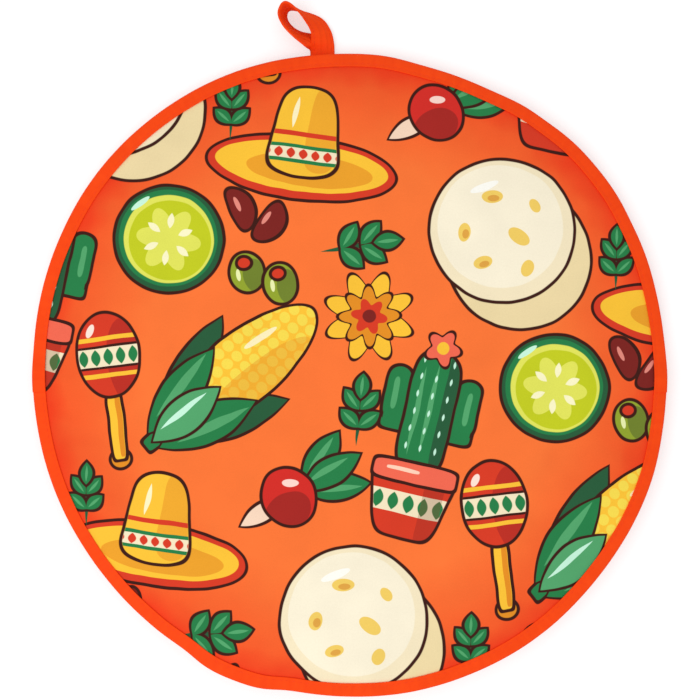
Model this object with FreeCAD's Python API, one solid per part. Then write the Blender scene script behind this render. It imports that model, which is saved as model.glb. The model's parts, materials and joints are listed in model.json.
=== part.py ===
import FreeCAD, Part
import math
import os

from FreeCAD import Vector

# Round padded tortilla warmer: two panels of face cloth, wadding and lining, sewn together round
# the far half of the rim and left open as a mouth round the near half. Tape binds the closed rim
# and both lips of the mouth, and a short loop of tape hangs the pouch up. It lies on its back
# panel: +Z up, +Y towards the loop, origin at the middle of the back panel, on the surface that
# it rests on. Millimetres and degrees.

# ---- driving dimensions ----
POUCH_DIAMETER = 305.0      # over the bound rim: a 12 in warmer
OUTER_CLOTH = 0.5           # printed face cloth
LINING_CLOTH = 0.5          # plain cotton against the food
BATTING_LOFT = 4.0          # wadding where nothing presses it
BATTING_AT_SEAM = 0.7       # the same wadding under the rim stitches
CAVITY_HEIGHT = 5.5         # room between the linings of the empty pouch
SHOULDER_WIDTH = 38.0       # ring in which the front panel falls from its flat middle to its edge
KNEE_PLACE = 0.5            # where the puffed shoulder turns steeper, as a share of its width
KNEE_DROP = 0.25            # and how much of its fall lies before that

TAPE_THICKNESS = 0.8        # binding tape with its raw edge turned under
BINDING_WIDTH = 7.0         # how far the tape reaches in over each face
BINDING_FOLD = 0.6          # how far the folded tape bulges at the rim
MOUTH_ARC = 170.0           # part of the rim that stays open
MOUTH_GAPE = 2.4            # how far the front lip stands open at rest
LIP_CLEARANCE = 0.4         # air between the two lip bindings at the corners of the mouth
FOLD_CLEARANCE = 0.3        # slit along the fold, between the sewn half and the flap

LOOP_REACH = 20.0           # how far the loop stands out from the line where it bends
LOOP_TAPE_WIDTH = 11.0
LOOP_TAPE_THICKNESS = 0.7
LOOP_PLY_GAP = 0.1          # air between the two plies of tape at the root
LOOP_OFFSET = -12.85        # the loop is sewn on a little to one side of the centre line
LOOP_ROOT_CLEARANCE = 2.0   # from the rim to the line where the loop bends
LOOP_BEND_SLIT = 0.5        # slit between the sewn ends and the free tape
LOOP_SPANS = 30             # flat facets of cloth along the loop

# ---- worked out from them ----
RADIUS = POUCH_DIAMETER / 2
CLOTH_RADIUS = RADIUS - TAPE_THICKNESS - BINDING_FOLD
TAPE_INNER_RADIUS = RADIUS - BINDING_WIDTH
FLAT_RADIUS = CLOTH_RADIUS - SHOULDER_WIDTH
KNEE_RADIUS = FLAT_RADIUS + KNEE_PLACE * SHOULDER_WIDTH
SEAM_PLIES = OUTER_CLOTH + BATTING_AT_SEAM + LINING_CLOTH
PANEL_LOFT = OUTER_CLOTH + BATTING_LOFT + LINING_CLOTH
SEAM_LIFT = BATTING_LOFT - BATTING_AT_SEAM
FRONT_TOP = 2 * PANEL_LOFT + CAVITY_HEIGHT
LIP_STEP = 2 * TAPE_THICKNESS + LIP_CLEARANCE
FOLD_Y = -RADIUS * math.cos(math.radians(MOUTH_ARC / 2))
FOLD_AXIS_HEIGHT = FRONT_TOP + FOLD_CLEARANCE / 2
WORKING_BOX = 2 * POUCH_DIAMETER


# ---- cloth surfaces: (radius, height) points from the middle of the pouch to the cut edge ----

def level(height):
    return [(0, height), (CLOTH_RADIUS, height)]


def taut(middle, edge):
    """Cloth pulled straight from the flat middle down or up to its edge."""
    return [(0, middle), (FLAT_RADIUS, middle), (CLOTH_RADIUS, edge)]


def puffed(middle, edge):
    """Cloth that wadding fills out, so that it falls gently at first and then more steeply."""
    knee = middle - KNEE_DROP * (middle - edge)
    return [(0, middle), (FLAT_RADIUS, middle), (KNEE_RADIUS, knee), (CLOTH_RADIUS, edge)]


def height_at(surface, radius):
    """Height of a surface at a radius in its outermost stretch, under the tape."""
    (inner, start), (outer, end) = surface[-2:]
    return start + (end - start) * (radius - inner) / (outer - inner)


def back_surfaces():
    """Underside of the face cloth, both sides of the wadding, and the lining's inside."""
    return [
        taut(0, SEAM_LIFT),
        taut(OUTER_CLOTH, SEAM_LIFT + OUTER_CLOTH),
        level(OUTER_CLOTH + BATTING_LOFT),
        level(PANEL_LOFT)]


def front_surfaces(step=0.0):
    """The same four for the front panel, from the lining's inside up to the face."""
    edge = PANEL_LOFT + step
    return [
        taut(FRONT_TOP - PANEL_LOFT, edge),
        taut(FRONT_TOP - OUTER_CLOTH - BATTING_LOFT, edge + LINING_CLOTH),
        puffed(FRONT_TOP - OUTER_CLOTH, edge + LINING_CLOTH + BATTING_AT_SEAM),
        puffed(FRONT_TOP, edge + SEAM_PLIES)]


# ---- solids ----

def at(radius, height):
    return Vector(radius, 0, height)


def turned(outline):
    """A solid of revolution about the pouch's axis, from the corners of its half section."""
    section = Part.Face(Part.makePolygon(outline + outline[:1]))
    return section.revolve(Vector(0, 0, 0), Vector(0, 0, 1), 360)


def layer(lower, upper):
    """One round layer of cloth or wadding between two surfaces."""
    return turned([at(*point) for point in lower + upper[::-1]])


def binding(under, over):
    """Tape folded round the edge of the cloth between two surfaces, as a ring of C section."""
    rim = RADIUS - BINDING_FOLD
    bottom = under[-1][1]
    top = over[-1][1]
    inner_bottom = height_at(under, TAPE_INNER_RADIUS)
    inner_top = height_at(over, TAPE_INNER_RADIUS)
    fold = at(RADIUS, (bottom + top) / 2)
    return turned([
        fold,
        at(rim, top + TAPE_THICKNESS),
        at(TAPE_INNER_RADIUS, inner_top + TAPE_THICKNESS),
        at(TAPE_INNER_RADIUS, inner_top),
        at(CLOTH_RADIUS, top),
        at(CLOTH_RADIUS, bottom),
        at(TAPE_INNER_RADIUS, inner_bottom),
        at(TAPE_INNER_RADIUS, inner_bottom - TAPE_THICKNESS),
        at(rim, bottom - TAPE_THICKNESS)])


def beyond_fold(side):
    """All space on one side of the fold: +1 the sewn half, -1 the half with the mouth."""
    near = side * FOLD_CLEARANCE / 2
    box = Part.makeBox(WORKING_BOX, WORKING_BOX, WORKING_BOX)
    box.translate(Vector(-WORKING_BOX / 2, near if side > 0 else near - WORKING_BOX, -WORKING_BOX / 2))
    box.translate(Vector(0, FOLD_Y, 0))
    return box


def sewn_half(shape):
    return shape.common(beyond_fold(+1)).Solids[0]


def mouth_half(shape):
    return shape.common(beyond_fold(-1)).Solids[0]


def gaping(shape):
    """A piece of the flap, tilted up about the fold in the face cloth by the mouth's gape."""
    tilted = mouth_half(shape)
    tilted.rotate(Vector(0, FOLD_Y, FOLD_AXIS_HEIGHT), Vector(-1, 0, 0), MOUTH_GAPE)
    return tilted


# ---- panels ----

def make_back_panel():
    under, cloth_top, batting_top, inside = back_surfaces()
    return {
        "back_outer_panel": layer(under, cloth_top),
        "back_batting": layer(cloth_top, batting_top),
        "back_lining": layer(batting_top, inside)}


def front_layers(step=0.0):
    inside, lining_top, batting_top, face = front_surfaces(step)
    return {
        "lining": layer(inside, lining_top),
        "batting": layer(lining_top, batting_top),
        "outer_panel": layer(batting_top, face)}


def make_front_panel():
    """The half of the front panel that is sewn to the back panel."""
    return {"front_" + name: sewn_half(piece) for name, piece in front_layers().items()}


def make_flap():
    """The half that lifts: its edge is stepped up so that its tape clears the back lip's."""
    return {"flap_" + name: gaping(piece) for name, piece in front_layers(LIP_STEP).items()}


# ---- binding tape ----

def make_bindings():
    back_under = back_surfaces()[0]
    back_inside = back_surfaces()[-1]
    flap = front_surfaces(LIP_STEP)
    return {
        "seam_binding": sewn_half(binding(back_under, front_surfaces()[-1])),
        "back_lip_binding": mouth_half(binding(back_under, back_inside)),
        "flap_lip_binding": gaping(binding(flap[0], flap[-1]))}


# ---- hanging loop ----

LOOP_PLIES_TOP = height_at(back_surfaces()[0], TAPE_INNER_RADIUS) - TAPE_THICKNESS
LOOP_PLY_PITCH = LOOP_TAPE_THICKNESS + LOOP_PLY_GAP
LOOP_PLIES_BOTTOM = LOOP_PLIES_TOP - LOOP_TAPE_THICKNESS - LOOP_PLY_PITCH
LOOP_ROOT_Y = RADIUS + LOOP_ROOT_CLEARANCE

# The tape leaves the rim flat, tips up on its edge to turn back, and lies flat again under itself.
# Each station gives the middle of the tape across and away from the root, as shares of the loop's
# reach, then the compass direction from its lower to its upper edge and how steeply that climbs.
LOOP_STATIONS = [
    (0.0, 0.0, 180, 0),
    (-0.01, 0.19, 186, 18),
    (-0.06, 0.44, 192, 38),
    (-0.24, 0.69, 199, 55),
    (-0.555, 0.91, 190, 80),
    (-0.825, 1.005, 135, 68),
    (-0.95, 0.82, 172, 70),
    (-0.87, 0.595, 190, 74),
    (-0.655, 0.405, 215, 77),
    (-0.27, 0.19, 200, 36),
    (-0.095, 0.085, 185, 10),
    (-0.02, 0.0, 180, 0)]


def loop_edges():
    """The tape's lower and upper edges, as smooth curves through the stations."""
    half_width = LOOP_TAPE_WIDTH / 2
    edges = {-1: [], +1: []}
    for place, (across, away, compass, climb) in enumerate(LOOP_STATIONS):
        out, up = math.radians(compass), math.radians(climb)
        side = Vector(math.cos(up) * math.cos(out), math.cos(up) * math.sin(out), math.sin(up))
        # the outgoing ply starts on top of the returning one and has come down by the third station
        stacked = LOOP_PLY_PITCH * max(0.0, 1 - place / 3)
        foot = LOOP_PLIES_BOTTOM + LOOP_TAPE_THICKNESS / 2 + stacked
        middle = Vector(
            LOOP_OFFSET + across * LOOP_REACH,
            LOOP_ROOT_Y + LOOP_BEND_SLIT / 2 + away * LOOP_REACH,
            foot + half_width * side.z)
        for end in edges:
            edges[end].append(middle + side * (end * half_width))
    curves = []
    for points in edges.values():
        curve = Part.BSplineCurve()
        curve.interpolate(points)
        curves.append(curve)
    return curves


def tape_sections():
    """Cross-sections of the tape, as four corners each, evenly spaced along its edges."""
    lower, upper = [curve.discretize(LOOP_SPANS + 1) for curve in loop_edges()]
    sections = []
    for place in range(LOOP_SPANS + 1):
        before, after = max(place - 1, 0), min(place + 1, LOOP_SPANS)
        along = lower[after] + upper[after] - lower[before] - upper[before]
        across = upper[place] - lower[place]
        half_ply = along.cross(across).normalize() * (LOOP_TAPE_THICKNESS / 2)
        low, high = lower[place], upper[place]
        sections.append([low + half_ply, high + half_ply, high - half_ply, low - half_ply])
    return sections


def facet(*corners):
    return Part.Face(Part.makePolygon(list(corners) + [corners[0]]))


def make_hanging_loop():
    """The free tape: flat facets of cloth between neighbouring cross-sections."""
    sections = tape_sections()
    faces = [facet(*sections[0]), facet(*sections[-1])]
    for here, ahead in zip(sections, sections[1:]):
        for corner in range(4):
            following = (corner + 1) % 4
            faces.append(facet(here[corner], here[following], ahead[following]))
            faces.append(facet(here[corner], ahead[following], ahead[corner]))
    return Part.Solid(Part.Shell(faces))


def make_sewn_ends():
    """Both ends of the tape, stitched flat together behind the seam binding."""
    length = LOOP_ROOT_Y - LOOP_BEND_SLIT / 2 - TAPE_INNER_RADIUS
    plies = Part.makeBox(LOOP_TAPE_WIDTH, length, LOOP_PLIES_TOP - LOOP_PLIES_BOTTOM)
    plies.translate(Vector(LOOP_OFFSET - LOOP_TAPE_WIDTH / 2, TAPE_INNER_RADIUS, LOOP_PLIES_BOTTOM))
    return plies


def main():
    os.makedirs("parts", exist_ok=True)
    nodes = {**make_back_panel(), **make_front_panel(), **make_flap(), **make_bindings()}
    nodes["loop_sewn_ends"] = make_sewn_ends()
    nodes["hanging_loop"] = make_hanging_loop()
    for name, shape in nodes.items():
        shape.exportStep(os.path.join("parts", name + ".step"))
        print(f"{name}: {shape.Volume / 1000:.2f} cm3, valid {shape.isValid()}")


main()
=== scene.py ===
# %% [markdown]
# # A round padded tortilla warmer
#
# The real thing is two round panels laid face to face. Each panel is a sandwich: printed cloth
# outside, a thin sheet of wadding, and plain cotton against the food. Tape binds them together
# round the far half of the rim. The near half stays open as the mouth, with tape on each lip, and
# a short loop of the same tape hangs the pouch up.
#
# The solids that come in here already have the right sizes and joints, but they are plain and
# stiff. This file dresses them: it makes every layer again as cloth, lets it settle, prints it and
# lights it. The solids stay hidden underneath and say where everything goes.

# %% Load the solids
import json
import math

import bmesh
import bpy
from mathutils import Matrix, Vector, noise


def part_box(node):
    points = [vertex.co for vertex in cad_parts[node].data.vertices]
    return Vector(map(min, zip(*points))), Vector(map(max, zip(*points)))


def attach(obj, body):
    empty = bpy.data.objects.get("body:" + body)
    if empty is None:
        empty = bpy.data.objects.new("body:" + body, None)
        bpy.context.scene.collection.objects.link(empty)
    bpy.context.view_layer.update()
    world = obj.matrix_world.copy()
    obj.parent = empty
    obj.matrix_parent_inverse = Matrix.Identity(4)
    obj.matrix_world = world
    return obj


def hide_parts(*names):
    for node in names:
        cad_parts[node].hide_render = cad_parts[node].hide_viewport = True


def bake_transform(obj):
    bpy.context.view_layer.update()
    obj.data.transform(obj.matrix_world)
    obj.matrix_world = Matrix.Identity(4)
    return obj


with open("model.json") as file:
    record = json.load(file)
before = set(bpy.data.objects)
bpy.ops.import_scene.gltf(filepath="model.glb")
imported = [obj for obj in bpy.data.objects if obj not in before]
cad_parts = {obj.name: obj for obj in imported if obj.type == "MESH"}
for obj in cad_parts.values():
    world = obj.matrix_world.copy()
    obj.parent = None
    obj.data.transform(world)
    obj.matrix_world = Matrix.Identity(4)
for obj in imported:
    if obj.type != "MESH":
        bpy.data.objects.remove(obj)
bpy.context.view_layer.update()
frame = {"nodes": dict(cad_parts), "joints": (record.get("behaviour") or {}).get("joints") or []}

MM = 0.001
print("solids:", ", ".join(sorted(frame["nodes"])))

# %% [markdown]
# ## Sizes
#
# A tailor would measure the finished pouch before copying it. The same is done here: radii and
# heights are read off the solids, so the cloth always fits them. Only what no solid shows, such
# as how the cloth lies between two seams, is a number of its own.

# %% Measure the solids


def lowest(node):
    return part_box(node)[0]


def highest(node):
    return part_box(node)[1]


RADIUS = highest("seam_binding").x                  # over the folded tape
CLOTH_RADIUS = highest("front_outer_panel").x       # the cut edge inside the tape
CLOTH = highest("back_lining").z - highest("back_batting").z
TAPE_INNER_RADIUS = lowest("loop_sewn_ends").y      # the loop's ends reach in as far as the tape
TAPE = 0.8 * MM                                     # tape with its raw edge turned under
SHOULDER = 38 * MM                                  # ring in which a panel falls to its edge

hinge = {joint["name"]: Vector(joint["pos_m"]) for joint in frame["joints"]}
FOLD_Y = hinge["mouth_fold"].y                      # the flap bends along this line
MOUTH_GAPE = math.radians(2.4)                      # how far the flap stands open at rest
LIP_STEP = 2.0 * MM                                 # room for two tapes between the lips
print(f"radius {RADIUS / MM:.1f} mm, cloth {CLOTH / MM:.2f} mm, fold at y {FOLD_Y / MM:.1f} mm")

# %% [markdown]
# ## How each layer lies
#
# Every layer is flat in the middle and slopes to the rim, where all of them are pressed together
# under the tape. So one surface is three numbers: its height in the middle, its height at the
# edge, and how puffy the slope is. A power of 1 is cloth pulled straight; a higher power bulges,
# as where wadding fills the printed cloth out.

# %% Name the surfaces
BACK_EDGE = highest("back_outer_panel").z - CLOTH
LINING_EDGE = lowest("front_lining").z
FACE_EDGE = lowest("front_outer_panel").z + CLOTH
TAUT, PUFFY = 1.15, 2.4

BACK_FACE = (0.0, BACK_EDGE, TAUT)
BACK_INSIDE = (highest("back_lining").z, LINING_EDGE, TAUT)
FRONT_INSIDE = (highest("front_lining").z - CLOTH, LINING_EDGE, TAUT)
FRONT_FACE = (highest("front_outer_panel").z, FACE_EDGE, PUFFY)


def down_shoulder(radius):
    """0 on the flat middle, 1 at the cut edge."""
    return max(0.0, (radius - CLOTH_RADIUS + SHOULDER) / SHOULDER)


def height(surface, radius):
    middle, edge, power = surface
    return middle + (edge - middle) * down_shoulder(radius) ** power


def raised(surface, by):
    middle, edge, power = surface
    return middle + by, edge + by, power


for name, surface in (("back face", BACK_FACE), ("front face", FRONT_FACE)):
    print(name, [round(height(surface, radius * MM) / MM, 1) for radius in (0, 120, 135, 151)])

# %% [markdown]
# ## How the pouch has settled
#
# A sewn circle is never quite round, and a filled one never quite even. The rim of this one is
# pulled in at some places and pushed out at others, the seam puckers the cloth beside it, and the
# front lip stands a little open. All of this is one move of a point, and every layer, tape and
# stitch goes through the same move, so whatever lay together neatly still does afterwards.

# %% Move a point as the pouch has settled
# direction in degrees, half the width of the bulge in degrees, millimetres outwards
RIM_BULGES = [
    (2, 18, -1.3), (40, 10, 1.2), (70, 11, -1.7), (126, 26, 1.6),
    (201, 33, -1.7), (249, 8, 2.8), (292, 22, 1.0)]
RIM_STIFFNESS = 4           # a bulge fades with this power of the radius, so the middle stays put
PUCKER_LENGTH = 13 * MM
PUCKER_HEIGHT = 0.55 * MM
PUCKER_AT = 0.9             # share of the radius where the puckers stand highest
PUCKER_REACH = 13 * MM
PUCKER_ON_SHOULDER = 0.3    # share of a pucker that runs on over the shoulder
WAVE_LENGTH, WAVE_HEIGHT = 55 * MM, 0.9 * MM
LIP_STEP_FROM, LIP_STEP_AT = -24 * MM, -7 * MM      # past the fold, so below zero is before it
GAPE_ROUNDING = 15 * MM     # length over which the flap begins to rise
TINY = 1e-9


def eased(value, start, end):
    share = min(1.0, max(0.0, (value - start) / (end - start)))
    return share * share * (3 - 2 * share)


def rim_bulge(direction):
    total = 0.0
    for middle, half_width, reach in RIM_BULGES:
        away = (math.degrees(direction) - middle + 180) % 360 - 180
        total += reach * MM * math.exp(-(away / half_width) ** 4)
    return total


def settled(point, front):
    """A point of the neat pouch, moved; front is 1 on the front panel and 0 on the back one."""
    x, y, z = point
    radius = math.hypot(x, y)
    if radius < TINY:
        return Vector(point)
    direction = math.atan2(y, x)
    outwards = rim_bulge(direction) * (radius / RADIUS) ** RIM_STIFFNESS
    past_fold = FOLD_Y - y
    slope = down_shoulder(radius)
    step = LIP_STEP * eased(past_fold, LIP_STEP_FROM, LIP_STEP_AT) * slope
    open_length = max(0.0, past_fold)
    gape = open_length * math.tan(MOUTH_GAPE) * (1 - math.exp(-open_length / GAPE_ROUNDING))
    along_rim = Vector((x, y, 0)) * (RADIUS / radius / PUCKER_LENGTH)
    pucker = noise.noise(along_rim) * PUCKER_HEIGHT
    beside_seam = math.exp(-((radius - PUCKER_AT * RADIUS) / PUCKER_REACH) ** 2)
    pucker *= beside_seam + PUCKER_ON_SHOULDER * slope
    wave = noise.noise(Vector((x, y, 0)) / WAVE_LENGTH) * WAVE_HEIGHT
    lifted = front * (step + gape + pucker + wave)
    stretch = 1 + outwards / radius
    return Vector((x * stretch, y * stretch, max(z + lifted, 0.0)))


print("rim bulge at 0, 90, 180, 270 degrees, mm:",
      [round(rim_bulge(math.radians(turn)) / MM, 2) for turn in (0, 90, 180, 270)])

# %% [markdown]
# ## From a bmesh to a piece
#
# A bmesh is the workbench; an object is the finished piece. One function does the hand-over for
# all of them, so that each piece stays at the origin with its place in its mesh.

# %% Turn a bmesh into an object


def make_piece(name, bm, material, sharp_above=None):
    mesh = bpy.data.meshes.new(name)
    bm.to_mesh(mesh)
    bm.free()
    mesh.shade_smooth()
    if sharp_above:
        mesh.set_sharp_from_angle(angle=math.radians(sharp_above))
    mesh.materials.append(material)
    made = bpy.data.objects.new(name, mesh)
    bpy.context.scene.collection.objects.link(made)
    print(f"{name}: {len(mesh.vertices)} vertices, {len(mesh.polygons)} faces")
    return made


# %% [markdown]
# ## Colours and nodes
#
# A colour is given as an sRGB hex value, while the shader counts in linear light, so one
# function converts. A second one adds a node, sets it up and wires it in; every material below is
# written with it.

# %% Two helpers for materials


def linear(hex_colour):
    channels = [int(hex_colour[place:place + 2], 16) / 255 for place in (1, 3, 5)]
    return [c / 12.92 if c <= 0.04045 else ((c + 0.055) / 1.055) ** 2.4 for c in channels] + [1.0]


def add(tree, kind, inputs=None, **settings):
    """A new node. An input takes a value or the output socket of another node."""
    made = tree.nodes.new(kind)
    for name, value in settings.items():
        setattr(made, name, value)
    for socket, value in (inputs or {}).items():
        if isinstance(value, bpy.types.NodeSocket):
            tree.links.new(value, made.inputs[socket])
        else:
            made.inputs[socket].default_value = value
    return made


# A Mix node has sockets of the same name for numbers, vectors and colours; these are the colours'.
MIX_UNDER, MIX_OVER, MIXED = 6, 7, 2
# At a scale of 1, a Wave texture's bands are this far apart.
WAVE_BAND = math.tau / 20


def new_material(name):
    material = bpy.data.materials.new(name)
    material.use_nodes = True
    material.node_tree.nodes.clear()
    return material, material.node_tree


def in_millimetres(tree, place):
    return add(tree, "ShaderNodeVectorMath", {0: place, 3: 1 / MM}, operation="SCALE").outputs[0]


def count_nodes(material):
    print(f"{material.name}: {len(material.node_tree.nodes)} nodes")


# %% [markdown]
# ## Printing a picture out of shapes
#
# The face cloth is printed with a cheerful kitchen pattern: flat colour inside a dark, drawn line.
# It could be painted as an image, but an image has a fixed number of dots, while shapes worked out
# in the shader stay crisp at any distance. So the pattern is built the way a stencil printer works:
# one shape over another, each in one ink.
#
# A shape is a sum. The cloth's position is turned, moved and squeezed until the shape is one unit
# big at the origin; then |x| to one power plus |y| to another is less than one inside it. Two and
# two give an oval, one and two a pointed leaf, six and six a slab with soft corners. A clamped
# multiply-add turns the sum into a mask with a soft edge, and the mask lays an ink over what is
# there already. A shape with a drawn line is printed twice, first a little larger in dark ink.

# %% Inks
INK, CREAM, GOLD, AMBER = "#3B130A", "#F5E6C2", "#FBC335", "#E58E1E"
RED, CRIMSON, MAROON, ROSE = "#D8391F", "#B3271D", "#7C1F1A", "#F2684F"
LEAF, FOREST, FRESH, MINT = "#227E46", "#245A38", "#52A56B", "#C8F5DC"
LIME, PALE_LIME = "#C3CC1C", "#E2E45C"
REPEAT = 195.0          # the pattern comes back after this many millimetres both ways
DRAWN_LINE = 1.55       # width of the dark line, mm
BLEED = 0.35            # how far an ink's edge runs into the next at most, mm
PETAL_DEPTH = 0.3       # how far a flower is cut in between its petals

# %% One motif: shapes printed round one place of the repeat


POWERS = {"oval": (2, 2), "leaf": (1, 2), "pod": (2, 6), "slab": (6, 6)}
NUMBERS, VECTORS = "ShaderNodeMath", "ShaderNodeVectorMath"


class Motif:
    """The cloth as seen from one motif, and the colour that has been printed so far."""

    def __init__(self, tree, cloth, colour, place, turn, size):
        self.tree, self.colour, self.size = tree, colour, size
        moved = self.result(VECTORS, cloth, (*place, 0), operation="SUBTRACT")
        turned = self.turned(self.wrapped(moved, REPEAT, REPEAT), (0, 0, 0), turn)
        self.cloth = self.result(VECTORS, turned, (size, size, 1), operation="DIVIDE")
        self.folded = None

    def result(self, kind, *inputs, output=0, **settings):
        """What a new node of any kind gives; its inputs come in the order of its sockets."""
        return add(self.tree, kind, dict(enumerate(inputs)), **settings).outputs[output]

    def turned(self, spot, middle, turn):
        return add(self.tree, "ShaderNodeVectorRotate", {
            "Vector": spot, "Center": middle, "Angle": -math.radians(turn)},
            rotation_type="Z_AXIS").outputs[0]

    def wrapped(self, spot, width, height):
        """The same cell over and over, with the origin in its middle."""
        half = (width / 2, height / 2, 1)
        return self.result(VECTORS, spot, half, [-value for value in half], operation="WRAP")

    def mirrored(self):
        """The cloth folded along the motif's middle, so that what is printed comes out twice."""
        if not self.folded:
            other_side = self.result(VECTORS, self.cloth, (-1, 1, 1), operation="MULTIPLY")
            self.folded = self.result(VECTORS, self.cloth, other_side, operation="MAXIMUM")
        return self.folded

    def warped(self, spot, taper, bend):
        """Narrows a shape towards its top, or bends it sideways like a bean."""
        up = self.result(VECTORS, spot, (0, 1, 0), operation="DOT_PRODUCT", output=1)
        if taper:
            narrower = self.result(NUMBERS, up, taper, 1.0, operation="MULTIPLY_ADD")
            parts = self.result("ShaderNodeCombineXYZ", narrower, 1.0, 1.0)
            return self.result(VECTORS, spot, parts, operation="DIVIDE")
        squared = self.result(NUMBERS, up, up, operation="MULTIPLY")
        bow = self.result(NUMBERS, squared, bend, -bend / 2, operation="MULTIPLY_ADD")
        aside = self.result("ShaderNodeCombineXYZ", bow)
        return self.result(VECTORS, spot, aside, operation="ADD")

    def petals(self, spot, count):
        """Like the sum of an oval, with an edge that waves in and out round the middle."""
        x, y = (self.result(VECTORS, spot, axis, operation="DOT_PRODUCT", output=1)
                for axis in ((1, 0, 0), (0, 1, 0)))
        direction = self.result(NUMBERS, y, x, operation="ARCTAN2")
        turns = self.result(NUMBERS, direction, count, operation="MULTIPLY")
        wave = self.result(NUMBERS, turns, operation="COSINE")
        reach = self.result(NUMBERS, wave, PETAL_DEPTH, 1 - PETAL_DEPTH, operation="MULTIPLY_ADD")
        total = self.result(VECTORS, spot, spot, operation="DOT_PRODUCT", output=1)
        return self.result(NUMBERS, total, reach, operation="DIVIDE")

    def mask(self, kind, cloth, x, y, wide, tall, taper, bend, petals, every):
        if every:
            moved = self.result(VECTORS, cloth, (x, y, 0), operation="SUBTRACT")
            cells = self.wrapped(moved, *every)
            spot = self.result(VECTORS, cells, (wide, tall, 1), operation="DIVIDE")
        else:
            spot = self.result(VECTORS, cloth, (1 / wide, 1 / tall, 0), (-x / wide, -y / tall, 0),
                               operation="MULTIPLY_ADD")
        if taper or bend:
            spot = self.warped(spot, taper, bend)
        powers = POWERS[kind]
        if petals:
            total = self.petals(spot, petals)
        elif kind == "oval":
            total = self.result(VECTORS, spot, spot, operation="DOT_PRODUCT", output=1)
        else:
            if 1 in powers:                         # an even power loses the sign by itself
                spot = self.result(VECTORS, spot, operation="ABSOLUTE")
            spot = self.result(VECTORS, spot, (*powers, 1), operation="POWER")
            total = self.result(VECTORS, spot, (1, 1, 0), operation="DOT_PRODUCT", output=1)
        steep = max(wide / powers[0], tall / powers[1]) * self.size / BLEED
        return self.result(NUMBERS, total, -steep, steep + 0.5, operation="MULTIPLY_ADD",
                           use_clamp=True)

    def lay(self, mask, hex_colour):
        self.colour = add(self.tree, "ShaderNodeMix", {
            0: mask, MIX_UNDER: self.colour, MIX_OVER: linear(hex_colour)},
            data_type="RGBA").outputs[MIXED]

    def shape(self, kind, x, y, wide, tall, hex_colour, turn=0, line=False, within=None,
              strength=1.0, taper=0, bend=0, petals=0, every=None, pair=False):
        """Prints one shape, or a mirrored pair; wide and tall are half sizes in millimetres.
        within keeps it inside a mask, and every repeats it at a spacing across and up."""
        cloth = self.mirrored() if pair else self.cloth
        if turn:
            cloth = self.turned(cloth, (x, y, 0), turn)
        how = (taper, bend, petals, every)
        if line:
            grown = DRAWN_LINE / self.size
            self.lay(self.mask(kind, cloth, x, y, wide + grown, tall + grown, *how), INK)
        mask = self.mask(kind, cloth, x, y, wide, tall, *how)
        covered = mask
        if within:
            covered = self.result(NUMBERS, covered, within, operation="MULTIPLY")
        if strength < 1:
            covered = self.result(NUMBERS, covered, strength, operation="MULTIPLY")
        self.lay(covered, hex_colour)
        return mask


# %% [markdown]
# ## The motifs
#
# Each one is drawn upright round its own middle, in millimetres, from back to front. Two or three
# tones of a colour and one pale streak are enough to make a flat shape look round.

# %% Corn cob


def corn(motif):
    motif.shape("slab", 0, -47, 3.2, 7, LEAF, line=True)
    motif.shape("leaf", 13, -17, 9, 31, FOREST, turn=-22, line=True, pair=True)
    cob = motif.shape("oval", 0, 9, 16, 38, GOLD, line=True, taper=-0.12)
    motif.shape("oval", 0, 0, 2.7, 2.5, "#F7DB4E", within=cob, every=(6.2, 5.8))
    motif.shape("oval", 9, 4, 8, 34, AMBER, within=cob, strength=0.45)
    motif.shape("oval", -6, 20, 1.6, 9, "#FFF6CF", turn=-6, strength=0.8)
    husk = motif.shape("leaf", 10, -25, 8.5, 25, LEAF, turn=-13, line=True, pair=True)
    motif.shape("leaf", 12, -23, 2.2, 19, FRESH, turn=-13, within=husk, pair=True)
    husk = motif.shape("leaf", 0, -30, 8, 20, FRESH, line=True)
    motif.shape("leaf", -2, -30, 1.4, 14, MINT, within=husk)


# %% Cactus in a pot


def cactus(motif):
    motif.shape("slab", 12.4, 5.6, 9.6, 5, LEAF, line=True, pair=True)
    motif.shape("pod", 17, 18, 5.6, 13, LEAF, line=True, pair=True)
    motif.shape("slab", 12.4, 5.6, 9.2, 4.6, LEAF, pair=True)
    motif.shape("pod", 18, 18, 1.4, 8, FRESH, pair=True)
    trunk = motif.shape("pod", 0, 12, 11, 30, LEAF, line=True)
    motif.shape("slab", 8, 12, 3, 30, FOREST, within=trunk)
    for across, up in ((-6, 12), (0, 14)):
        motif.shape("leaf", across, up, 1.3, 22, FRESH, within=trunk)
    motif.shape("leaf", 0, 3, 0.6, 1.8, MINT, within=trunk, every=(7.2, 8.6))
    motif.shape("oval", 0, 44, 8.5, 8.5, ROSE, line=True, petals=5)
    motif.shape("oval", 0, 44, 3, 3, GOLD)
    pot = motif.shape("slab", 0, -33, 17, 16, RED, line=True, taper=0.22)
    motif.shape("slab", 0, -33, 30, 5.2, CREAM, within=pot)
    motif.shape("leaf", 0, -33, 2.6, 4.4, LEAF, within=pot, every=(7.4, 60))
    motif.shape("slab", 11, -33, 5, 20, MAROON, within=pot, strength=0.35)
    motif.shape("slab", 0, -18, 20, 4.6, ROSE, line=True)
    motif.shape("pod", -6, -17, 8, 1, "#FFD2B8")


# %% Straw hat


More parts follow.
